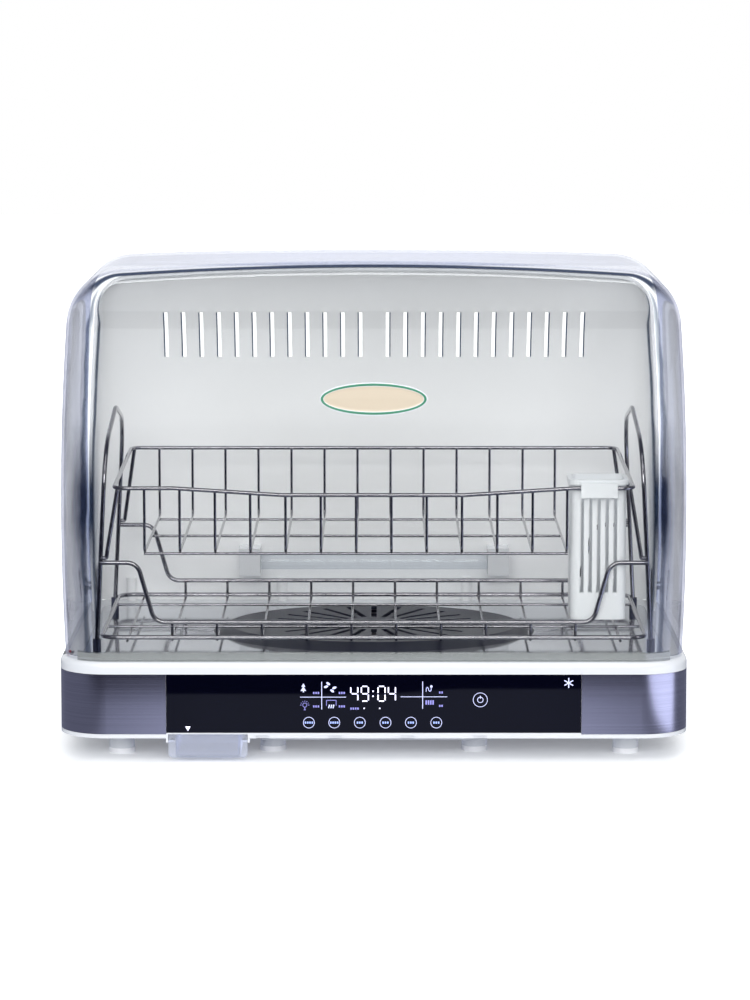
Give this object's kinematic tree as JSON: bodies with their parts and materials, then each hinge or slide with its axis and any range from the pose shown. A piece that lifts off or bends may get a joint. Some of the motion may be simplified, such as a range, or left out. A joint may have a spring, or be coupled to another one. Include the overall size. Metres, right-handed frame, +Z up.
{
  "type": "dish sterilizer cabinet",
  "caption": "Countertop dish drying and sterilizing cabinet with a clear flip-up hood, two wire racks, warm-air fan, touch panel and a pull-out drip box.",
  "frame": {"origin": "on the table under the middle of the cabinet's outline", "axes": "+Z up, the front with the control glass faces -Y, +X to the viewer's right"},
  "size_m": [0.55, 0.35, 0.435],
  "materials": {
    "white_abs": "smooth moulded gloss",
    "white_pp": "moulded satin",
    "brushed_trim": "vertical brush lines",
    "black_glass": "mirror gloss black glass",
    "stainless": "polished",
    "rack_wire": "polished wire",
    "dark_cover": "fine matte",
    "motor_steel": "plain",
    "heater_fins": "plain",
    "foot_rubber": "soft matte",
    "rack_rubber": "soft matte",
    "clear_box": "clear moulded plastic",
    "smoke_hood": "smoke clear gloss",
    "clear_bead": "frosted clear",
    "badge_cream": "gloss with a green ring",
    "circuit_board": "green solder mask",
    "relay_blue": "plain",
    "led_violet": "lit segments behind dark glass",
    "brass": "plain",
    "red_plastic": "plain",
    "lamp_tube": "clear quartz tube"
  },
  "bodies": {
    "cabinet": {"base_shell": "white_abs", "side_trim_left": "brushed_trim", "side_trim_right": "brushed_trim", "control_glass": "black_glass", "deck_plate": "stainless", "fan_cover": "dark_cover", "fan_housing": "dark_cover", "fan_motor": "motor_steel", "heater_ring": "stainless", "heater_core": "heater_fins", "thermal_cutout": "motor_steel", "bottom_cover": "white_abs", "foot_pads": "foot_rubber", "bottom_screws": "stainless", "rear_casing_screws": "stainless", "drip_guide": "white_abs", "drain_spout": "dark_cover", "main_board": "circuit_board", "transformer": "dark_cover", "relays": "relay_blue", "display_board": "circuit_board", "led_display": "led_violet", "key_springs": "brass", "power_inlet": "dark_cover", "inlet_pins": "brass", "lid_switch_body": "dark_cover", "rear_casing": "white_abs", "hinge_bracket_left": "stainless", "hinge_pin_left": "stainless", "hinge_bracket_right": "stainless", "hinge_pin_right": "stainless", "uv_lamp": "lamp_tube", "lamp_holders": "white_abs"},
    "hood": {"hood": "smoke_hood", "hood_bead": "clear_bead", "hood_badge": "badge_cream"},
    "fan": {"fan_shaft": "stainless", "fan_impeller": "white_abs"},
    "drip_drawer": {"drip_box": "clear_box"},
    "switch_plunger": {"lid_switch_plunger": "red_plastic"},
    "lower_rack": {"lower_rack_ring": "rack_wire", "lower_rack_loop_left": "rack_wire", "lower_rack_loop_right": "rack_wire", "lower_rack_rail_front": "rack_wire", "lower_rack_rail_rear": "rack_wire", "lower_rack_floor": "rack_wire", "lower_rack_feet": "rack_rubber"},
    "upper_rack": {"upper_rack_rim": "rack_wire", "upper_rack_legs": "rack_wire", "upper_rack_floor": "rack_wire"},
    "cup": {"chopstick_holder": "white_pp"}
  },
  "joints": [
    {"name": "hood_hinge", "type": "hinge", "parent": "cabinet", "child": "hood", "pos_m": [0, 0.135, 0.106], "axis": [-1, 0, 0], "range_deg": [0, 70]},
    {"name": "drip_box_slide", "type": "slide", "parent": "cabinet", "child": "drip_drawer", "axis": [0, -1, 0], "range_m": [0, 0.1]},
    {"name": "fan_spin", "type": "hinge", "parent": "cabinet", "child": "fan", "pos_m": [0, -0.009, 0.06], "axis": [0, 0, 1], "continuous": true},
    {"name": "lid_switch_press", "type": "slide", "parent": "cabinet", "child": "switch_plunger", "axis": [0, 0, -1], "range_m": [0, 0.0015], "stiffness_N_per_m": 300, "springref_m": -0.001},
    {"name": "lower_rack_lift", "type": "slide", "parent": "cabinet", "child": "lower_rack", "axis": [0, 0, 1], "range_m": [0, 0.06]},
    {"name": "upper_rack_lift", "type": "slide", "parent": "lower_rack", "child": "upper_rack", "axis": [0, 0, 1], "range_m": [0, 0.06]},
    {"name": "chopstick_holder_lift", "type": "slide", "parent": "upper_rack", "child": "cup", "axis": [0, 0, 1], "range_m": [0, 0.04]}
  ]
}
